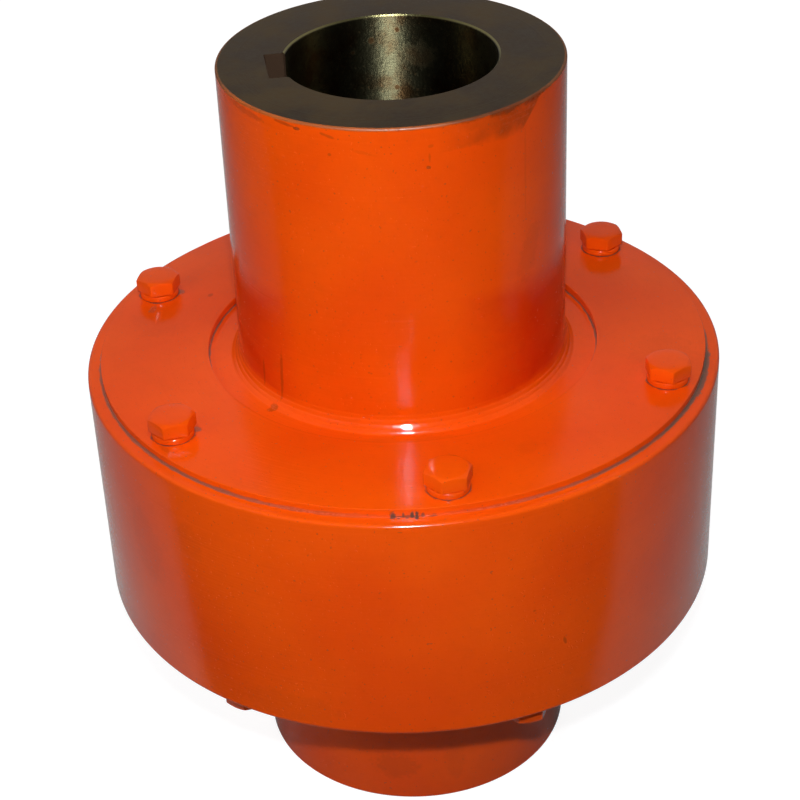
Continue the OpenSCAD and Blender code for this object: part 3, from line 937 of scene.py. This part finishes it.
class COUPLING_OT_sleeve(bpy.types.Operator):
    """Make the outer sleeve, and the two plates that hold the pins in it"""

    bl_idname = "coupling.sleeve"
    bl_label = "Sleeve and Plates"

    def execute(self, context):
        scene, colours = context.scene, context.scene.coupling_colours
        sizes, pins, bolts = scene.coupling_sleeve, scene.coupling_pins, scene.coupling_bolts
        tree = machined_tree()
        base, top = SLEEVE[0].z, SLEEVE[1].z
        edge, chamfer = sizes.edge_round, sizes.chamfer
        section = [
            (sizes.bore_radius, base + chamfer), (sizes.bore_radius + chamfer, base),
            *rounded((sizes.radius, base), (-edge, 0), (0, edge), 5),
            *rounded((sizes.radius, top), (0, -edge), (-edge, 0), 5),
            (sizes.bore_radius + chamfer, top), (sizes.bore_radius, top - chamfer)]
        groove, tapped, tapped_depth = (
            pins.diameter / 2 + pins.clearance, bolts.diameter / 2 + 0.05 * MM, 15 * MM)
        values = {
            **cutter("Groove", pins.count, pins.circle, pins.first_angle, (base + top) / 2, groove,
                     top - base),
            **cutter("Upper Hole", BOLTS, bolts.circle, bolts.upper_angle, top, tapped, tapped_depth),
            **cutter("Lower Hole", BOLTS, bolts.circle, bolts.lower_angle, base, tapped, tapped_depth)}
        paint = sprayed_enamel("sleeve_enamel", colours, bare=self.under_plates, dirt=(
            (colours.grime, SATIN, marked(SLEEVE_OIL)),
            (colours.dust, MATT, self.rim_line),
            (colours.dust, MATT, marked(RIM_DUST)),
            (colours.chip, MATT, marked(RIM_CHIPS))))
        self.machine("sleeve_ring", section, tree, values, paint, "sleeve_paint", "outer_sleeve")
        coat = sprayed_enamel("plate_enamel", colours, dirt=(
            (colours.grime, SATIN, marked(PLATE_OIL)),
            (colours.dust, MATT, marked(PLATE_SMUDGES)),
            (colours.chip, MATT, self.hole_seam),
            # Dirt and painted contact shade in a dark ring round the foot of each washer
            (colours.chip, MATT, self.bolt_dust),
            (colours.dust, MATT, self.foot),
            (colours.chip, MATT, marked(RIM_CHIPS))))
        inner, outer, worn = sizes.plate_hole, sizes.plate_radius, sizes.plate_edge
        for side, face, seat, angle in (
                ("upper", UPPER_PLATE[1].z, UPPER_PLATE[0].z, bolts.upper_angle),
                ("lower", LOWER_PLATE[0].z, LOWER_PLATE[1].z, bolts.lower_angle)):
            drop = math.copysign(worn, face - seat)
            section = [
                (inner, seat), (outer, seat), *rounded((outer, face), (0, -drop), (-worn, 0), 4),
                *rounded((inner, face), (worn, 0), (0, -drop), 4)]
            hole = (bolts.circle, angle, seat, bolts.diameter / 2 + 0.3 * MM, 5 * MM)
            # One ring of holes goes through a plate, and it has no grooves
            values = {**cutter("Groove", 0), **cutter("Upper Hole", BOLTS, *hole), **cutter("Lower Hole", 0)}
            name = f"{side}_retaining_plate"
            self.machine(name, section, tree, values, coat, "plate_paint", f"{side}_plate")
        return {"FINISHED"}

    def machine(self, name, section, tree, values, material, slot, node):
        """Spins a section into a blank, and cuts its grooves and holes."""
        angles = evenly(RING_STEPS)
        blank = loft(name, [[around(r, a, z) for a in angles] for r, z in section], closed=True)
        data = run_tree(name, blank, tree, {**values, "Material": material})
        hold(name, data, "sleeve_assembly", slot, node)

    def under_plates(self, at):
        """The bore and the seats of the plates, which have no paint."""
        return at.add("ShaderNodeMapRange", {
            0: at.radius, 1: PLATE_RIM - 1.3 * MM, 2: PLATE_RIM - 0.7 * MM, 3: 1.0, 4: 0.0})

    def more_aside(self, at, strength):
        """A strength that fades towards the front, where the dust was wiped off."""
        aside = sideways(at, math.radians(7))
        return at.add("ShaderNodeMapRange", {0: aside, 1: 5 * MM, 2: 45 * MM, 3: 0.1, 4: strength})

    def rim_line(self, at):
        """Dust along the foot of the upper plate."""
        reach = ragged(at, at.radius, -0.9 * MM, scale=300.0, detail=3.0)
        film = at.add("ShaderNodeMapRange", {
            0: reach, 1: PLATE_RIM - 0.1 * MM, 2: PLATE_RIM + 0.3 * MM,
            3: self.more_aside(at, 0.75), 4: 0.0})
        return only_where(at, film, at.height, "GREATER_THAN", SLEEVE[1].z - 0.3 * MM)

    def hole_seam(self, at):
        """Filler at the bottom of the hole, on the flange."""
        seat = UPPER_PLATE[0].z
        low = at.add("ShaderNodeMapRange", {
            0: at.height, 1: seat + 0.1 * MM, 2: seat + 0.4 * MM, 3: 0.75, 4: 0.0})
        return only_where(at, low, at.radius, "LESS_THAN", PLATE_HOLE + 0.3 * MM)

    def foot(self, at):
        """Dust at the foot of the plate's outer wall, thickest at the sides."""
        level, seat = ragged(at, at.height, -0.9 * MM, scale=300.0, detail=3.0), UPPER_PLATE[0].z
        low = at.add("ShaderNodeMapRange", {
            0: level, 1: seat - 0.1 * MM, 2: seat + 0.3 * MM, 3: self.more_aside(at, 0.7), 4: 0.0})
        return only_where(at, low, at.radius, "GREATER_THAN", PLATE_RIM - 0.1 * MM)

    def bolt_dust(self, at):
        """Dirt and painted contact shade round the foot of each washer, on the sixty degree repeat of the
        bolts.
        """
        add, parts = at.add, at.add("ShaderNodeSeparateXYZ", {0: at.place}).outputs
        angle = add("ShaderNodeMath", {0: parts["Y"], 1: parts["X"]}, operation="ARCTAN2")
        step = add("ShaderNodeMath", {0: angle, 1: math.radians(60), 2: 0.0}, operation="WRAP")
        aside = add("ShaderNodeMath", {0: step, 1: math.radians(30)}, operation="SUBTRACT")
        across = add("ShaderNodeMath", {0: aside, 1: at.radius}, operation="MULTIPLY")
        outward = add("ShaderNodeMath", {0: at.radius, 1: BOLT_CIRCLE}, operation="SUBTRACT")
        offset = add("ShaderNodeCombineXYZ", {"X": outward, "Y": across})
        reach = add("ShaderNodeVectorMath", {0: offset}, operation="LENGTH")
        ring = ragged(at, reach, 1.6 * MM, scale=420.0, detail=3.0)
        return add("ShaderNodeMapRange", {0: ring, 1: 6.2 * MM, 2: 5.7 * MM, 4: 0.8})


class COUPLING_OT_fasteners(bpy.types.Operator):
    """Make the bolts and spring washers on both retaining plates"""

    bl_idname = "coupling.fasteners"
    bl_label = "Bolts and Spring Washers"

    def execute(self, context):
        sizes = context.scene.coupling_bolts
        tree = ring_tree()
        paint = sprayed_enamel(
            "fastener_enamel", context.scene.coupling_colours, bare=self.below_head)
        thick = UPPER_WASHERS[1].z - UPPER_WASHERS[0].z
        bolt = in_scene("bolt_pattern", self.bolt_mesh(sizes))
        washer = in_scene("washer_pattern", self.washer_mesh(sizes, thick))
        for side, seat, tip, angle, way, head_turns, cut_turns in (
                ("upper", UPPER_PLATE[1].z, 0.0, sizes.upper_angle, 1, UPPER_HEAD_TURNS, UPPER_CUT_TURNS),
                ("lower", LOWER_PLATE[0].z, math.pi, sizes.lower_angle, -1, LOWER_HEAD_TURNS,
                 LOWER_CUT_TURNS)):
            for kind, pattern, level, turns in (
                    ("bolts", bolt, seat + way * thick, head_turns),
                    ("spring_washers", washer, seat, cut_turns)):
                name = f"{side}_plate_{kind}"
                data = run_tree(name, turned_points(name, turns), tree, {
                    "Piece": pattern, "Material": paint, "Circle Radius": sizes.circle,
                    "First Angle": angle, "Level": level, "Tip Over": tip})
                hold(name, data, "sleeve_assembly", "fastener_paint", f"{side}_{kind}")
        for pattern in (bolt, washer):
            bpy.data.objects.remove(pattern)
        return {"FINISHED"}

    def below_head(self, at):
        """The threads between the two plates, which are plated and not painted."""
        middle = (SLEEVE[0].z + SLEEVE[1].z) / 2
        level = at.add("ShaderNodeMath", {0: at.height, 1: middle}, operation="SUBTRACT")
        away = at.add("ShaderNodeMath", {0: level}, operation="ABSOLUTE")
        edge = UPPER_PLATE[1].z - middle
        return at.add("ShaderNodeMapRange", {0: away, 1: edge - 0.3 * MM, 2: edge, 3: 1.0, 4: 0.0})

    def bolt_mesh(self, sizes):
        """A hexagon head bolt with a cut thread, the underside of its head at z = 0."""
        half, top, crown = sizes.flats / 2, sizes.head_height, sizes.crown / 2
        shank, pitch = sizes.diameter / 2, sizes.pitch
        slope = math.tan(math.radians(30))
        face, face_radius = 0.4 * MM, 0.43 * sizes.flats
        # The corners of the hexagon, 0.08 mm short of sharp
        corner = half / math.cos(math.pi / 6) - 0.0775 * MM

        def head(angle):
            """Section of the head at an angle, from its top to the shank."""
            lean = (angle + math.pi / 6) % (math.pi / 3) - math.pi / 6
            side = min(half / math.cos(lean), corner)
            inner = side - 0.08 * MM
            return (
                (crown * 0.5, top), (crown - 0.15 * MM, top), (crown + 0.05 * MM, top - 0.06 * MM),
                (inner, top - (inner - crown) * slope - 0.01 * MM),
                (side, top - (side - crown) * slope - 0.12 * MM),
                (side, face + 0.1 * MM), (side - 0.1 * MM, face), (face_radius, face),
                (face_radius, 0), (shank, 0))

        # Close steps round the six corners, wider ones between them
        angles = merged(evenly(BOLT_STEPS), *[
            [math.radians(30 + 60 * n + d) for d in (-6, -3, -1.5, 0, 1.5, 3, 6)] for n in range(6)])
        levels = zip(*(head(a) for a in angles))
        rings = [[around(r, a, z) for a, (r, z) in zip(angles, level)] for level in levels]
        # The thread fades in over its first turn, and ends 1 mm before the tip
        start, turn_steps, thread_depth = 1.5 * MM, 6, 0.54 * pitch
        for n in range(int(round((sizes.length - start - 1 * MM) / pitch * turn_steps)) + 1):
            z = -start - n * pitch / turn_steps
            ring = []
            for a in angles:
                phase = (-z / pitch + a / (2 * math.pi)) % 1
                depth = thread_depth * (1 - abs(2 * phase - 1)) * min(1, n / turn_steps)
                ring.append(around(shank - max(0, depth - 0.03 * MM), a, z))
            rings.append(ring)
        rings.append([around(shank * 0.75, a, -sizes.length) for a in angles])
        return loft("bolt_pattern", rings)

    def washer_mesh(self, sizes, thick):
        """A split spring washer, pressed flat, with its seat at z = 0."""
        inner = sizes.diameter / 2 + 0.2 * MM
        outer = inner + sizes.washer_section
        soft, gap, lean = 0.5 * MM, 0.4 * MM, math.tan(math.radians(25))
        section = [
            *rounded((outer, 0), (0, soft), (-soft, 0), 5),
            *rounded((inner, 0), (soft, 0), (0, soft), 5),
            *rounded((inner, thick), (0, -soft), (soft, 0), 5),
            *rounded((outer, thick), (-soft, 0), (0, -soft), 5)]
        rings = []
        for n in range(WASHER_STEPS + 1):
            ring = []
            for r, z in section:
                cut = (gap + (z - thick / 2) * lean) / r
                far = (gap - (z - thick / 2) * lean) / r
                ring.append(around(r, cut + (2 * math.pi - cut - far) * n / WASHER_STEPS, z))
            rings.append(ring)
        return loft("washer_pattern", rings)


class COUPLING_OT_pins(bpy.types.Operator):
    """Make the two rows of nylon pins"""

    bl_idname = "coupling.pins"
    bl_label = "Nylon Pins"

    def execute(self, context):
        sizes = context.scene.coupling_pins
        nylon = cast_nylon("turned_cast_nylon", context.scene.coupling_colours)
        # The two rows stand end to end and slide on each other, so both are a little short there
        short = 0.05 * MM
        radius, length, chamfer = sizes.diameter / 2, sizes.length - short, sizes.chamfer
        angles = evenly(PIN_STEPS)
        # The chamfer's outer edge is broken
        section = [(radius - chamfer, 0), (radius - 0.1 * chamfer, 0.9 * chamfer), (radius, 1.2 * chamfer)]
        section += [(r, length - z) for r, z in reversed(section)]
        pattern = in_scene("pin_pattern", loft(
            "pin_pattern", [[around(r, a, z) for a in angles] for r, z in section]))
        tree = ring_tree()
        for row, body, base in (
                ("lower", "sleeve_assembly", LOWER_PIN[0].z),
                ("upper", "upper_pin_row", LOWER_PIN[1].z + short)):
            name = f"{row}_nylon_pins"
            data = run_tree(name, turned_points(name, [0] * sizes.count), tree, {
                "Piece": pattern, "Material": nylon, "Circle Radius": sizes.circle,
                "First Angle": sizes.first_angle, "Level": base, "Tip Over": 0.0})
            hold(name, data, body, "nylon", *[f"{row}_pin_{n + 1:02d}" for n in range(sizes.count)])
        bpy.data.objects.remove(pattern)
        return {"FINISHED"}


# Stage

class COUPLING_OT_stage(bpy.types.Operator):
    """Set up the floor, the lights, the white surroundings and the camera"""

    bl_idname = "coupling.stage"
    bl_label = "Studio"

    def execute(self, context):
        scene, studio = context.scene, context.scene.coupling_studio
        scene.view_settings.view_transform = "Standard"
        place = Vector(studio.camera_place)
        aim = (
            Matrix.Rotation(studio.heading, 4, "Z")
            @ Matrix.Rotation(math.pi / 2 - studio.tilt, 4, "X")
            @ Matrix.Rotation(studio.roll, 4, "Z"))
        camera = in_scene("camera", bpy.data.cameras.new("camera"))
        camera.matrix_world = Matrix.Translation(place) @ aim
        camera.data.lens = studio.lens
        camera.data.sensor_width = 36
        camera.data.clip_start = 0.01
        scene.camera = camera
        # The small light stands just above the lens, once for what it lights and once for its sparkle
        above = place + aim.to_3x3() @ Vector((0, 40 * MM, 0))
        middle = Vector((0, 0, 100 * MM))
        distance, softbox_size = 1.1, 0.5
        turn = Matrix.Rotation(studio.heading, 3, "Z")
        key = self.lamp("key_light", above, middle, 20 * MM, 12 * MM, studio.key_power)
        key.visible_glossy = False
        spark = self.lamp("key_light_sparkle", above, middle, 20 * MM, 12 * MM, studio.spark_power)
        spark.data.color = (0.85, 0.93, 1.0)
        spark.visible_diffuse = False
        for name, azimuth, elevation, power in (
                ("top_softbox", 0, 70, studio.top_power), ("side_softbox", -50, 35, studio.side_power),
                ("back_softbox", 180, 12, studio.back_power)):
            bearing, up = math.radians(azimuth), math.radians(elevation)
            away = Vector((
                math.sin(bearing) * math.cos(up), -math.cos(bearing) * math.cos(up), math.sin(up)))
            softbox = self.lamp(
                name, middle + turn @ away * distance, middle, softbox_size, softbox_size, power)
            softbox.visible_glossy = False
        self.floor(studio.heading, scene.coupling_hub.diameter / 2)
        self.flag(turn)
        self.surroundings(scene, studio.ambient, turn @ Vector((0, -1, 0)))
        return {"FINISHED"}

    def lamp(self, name, place, target, width, depth, power):
        """A rectangular lamp at a place, turned to a target."""
        data = bpy.data.lights.new(name, "AREA")
        data.shape = "RECTANGLE"
        data.size, data.size_y, data.energy = width, depth, power
        lamp = in_scene(name, data)
        lamp.location = place
        lamp.rotation_mode = "QUATERNION"
        lamp.rotation_quaternion = (target - place).to_track_quat("-Z", "Y")
        return lamp

    def by_ray(self, add, falling, mirrored, looked_at):
        """A strength that differs for light that falls, for gloss, and for the camera and glass."""
        path = add("ShaderNodeLightPath").outputs
        clear = add("ShaderNodeMath", {
            0: path["Is Camera Ray"], 1: path["Is Transmission Ray"]}, operation="MAXIMUM")
        strength = add("ShaderNodeMix", {0: path["Is Glossy Ray"], 2: falling, 3: mirrored})
        return add("ShaderNodeMix", {0: clear, 2: strength, 3: looked_at})

    def paper(self, at, dark, light):
        """The faint grain of paper, between two greys."""
        grain = at.add("ShaderNodeTexNoise", {"Vector": at.place, "Scale": 900.0})
        return at.add("ShaderNodeMix", {0: grain, 6: linear(dark), 7: linear(light)}, data_type="RGBA")

    def floor(self, heading, hub_radius):
        """A plain pale floor that looks white and keeps the object's shadow."""
        white, at = new_surface("matt_white_paper")
        add = at.add
        # Gloss mirrors the paper brightest near the middle, where the light above the lens falls,
        # and less under the sleeve, which shades it
        shade = add("ShaderNodeMapRange", {
            0: at.radius, 1: 70 * MM, 2: 130 * MM, 3: 0.1, 4: 0.34})
        mirrored = add("ShaderNodeMapRange", {
            0: sideways(at, -heading), 1: 100 * MM, 2: 380 * MM, 3: shade, 4: 0.02})
        strength = self.by_ray(add, 0.0, mirrored, 0.91)
        # Nothing glows under the object itself, or its bores would be lit from below
        light = only_where(at, strength, at.radius, "GREATER_THAN", hub_radius - 0.25 * MM)
        diffuse = add("ShaderNodeBsdfDiffuse", {"Color": self.paper(at, "#808080", "#888888")})
        shine = add("ShaderNodeEmission", {"Color": linear("#FFFFFF"), "Strength": light})
        both = add("ShaderNodeAddShader", {0: diffuse, 1: shine})
        add("ShaderNodeOutputMaterial", {"Surface": both})
        self.sheet("floor", [(-6, -6, 0), (6, -6, 0), (6, 6, 0), (-6, 6, 0)], white)

    def flag(self, turn):
        """A black card flat on the floor in front, which only glossy surfaces see."""
        black, at = new_surface("matt_black_card")
        finished(black, at, Base_Color=self.paper(at, "#0C0C0C", "#161616"), Roughness=0.9)
        # Its corners in metres, across and along the camera's heading
        corners = (
            (-1.2, 0.0812), (0.06, -0.0797), (0.14, -0.082), (0.2, -0.0885), (0.26, -0.1052),
            (1.2, -0.2252), (1.2, -1.5), (-1.2, -1.5))
        card = self.sheet("black_card", [turn @ Vector((x, y, 0.001)) for x, y in corners], black)
        card.visible_camera = card.visible_diffuse = card.visible_shadow = False
        card.visible_transmission = False

    def sheet(self, name, corners, material):
        """A flat sheet of the stage."""
        data = bpy.data.meshes.new(name)
        data.from_pydata([tuple(c) for c in corners], [], [tuple(range(len(corners)))])
        data.materials.append(material)
        sheet = in_scene(name, data)
        return sheet

    def surroundings(self, scene, ambient, front):
        """A room that lights softly, and looks white to the eye and to what is glossy."""
        scene.world = bpy.data.worlds.new("studio_room")
        scene.world.use_nodes = True
        scene.world.node_tree.nodes.clear()
        add = partial(add_node, scene.world.node_tree)
        # As gloss shows it, the room is darker overhead and behind the camera than at the sides
        way = add("ShaderNodeTexCoord").outputs["Generated"]
        up = add("ShaderNodeSeparateXYZ", {0: way}).outputs["Z"]
        lit = add("ShaderNodeMapRange", {0: up, 1: 0.64, 2: 0.94, 3: 0.33, 4: 0.1})
        ahead = add("ShaderNodeVectorMath", {0: way, 1: front}, operation="DOT_PRODUCT")
        shade = add("ShaderNodeMapRange", {0: ahead, 1: 0.1, 2: 0.5, 3: 1.0, 4: 0.3})
        mirrored = add("ShaderNodeMath", {0: lit, 1: shade}, operation="MULTIPLY")
        strength = self.by_ray(add, ambient, mirrored, 1.0)
        light = add("ShaderNodeBackground", {"Color": linear("#FFFFFF"), "Strength": strength})
        add("ShaderNodeOutputWorld", {"Surface": light})


# Sidebar

class COUPLING_PT_sidebar(bpy.types.Panel):
    """Lists the sizes, the finishes and the steps of the coupling"""

    bl_idname = "COUPLING_PT_sidebar"
    bl_label = "Pin Gear Coupling"
    bl_space_type = "VIEW_3D"
    bl_region_type = "UI"
    bl_category = "Coupling"

    def draw(self, context):
        for title, attribute, group in GROUPS:
            box = self.layout.box()
            box.label(text=title)
            for name in group.__annotations__:
                box.prop(getattr(context.scene, attribute), name)
        for step in STEPS:
            self.layout.operator(step.bl_idname)


GROUPS = (
    ("Half Couplings", "coupling_hub", HubSizes),
    ("Pins", "coupling_pins", PinSizes),
    ("Sleeve and Plates", "coupling_sleeve", SleeveSizes),
    ("Fasteners", "coupling_bolts", FastenerSizes),
    ("Finishes", "coupling_colours", FinishColours),
    ("Studio", "coupling_studio", StudioSettings),
)
STEPS = (
    COUPLING_OT_half_couplings,
    COUPLING_OT_sleeve,
    COUPLING_OT_fasteners,
    COUPLING_OT_pins,
    COUPLING_OT_stage,
)


def register():
    for _, attribute, group in GROUPS:
        bpy.utils.register_class(group)
        setattr(bpy.types.Scene, attribute, PointerProperty(type=group))
    for step in STEPS:
        bpy.utils.register_class(step)
    bpy.utils.register_class(COUPLING_PT_sidebar)


def unregister():
    bpy.utils.unregister_class(COUPLING_PT_sidebar)
    for step in reversed(STEPS):
        bpy.utils.unregister_class(step)
    for _, attribute, group in reversed(GROUPS):
        delattr(bpy.types.Scene, attribute)
        bpy.utils.unregister_class(group)


def main():
    register()
    bpy.ops.coupling.half_couplings()
    bpy.ops.coupling.sleeve()
    bpy.ops.coupling.fasteners()
    bpy.ops.coupling.pins()
    bpy.ops.coupling.stage()


if __name__ == "__main__":
    main()
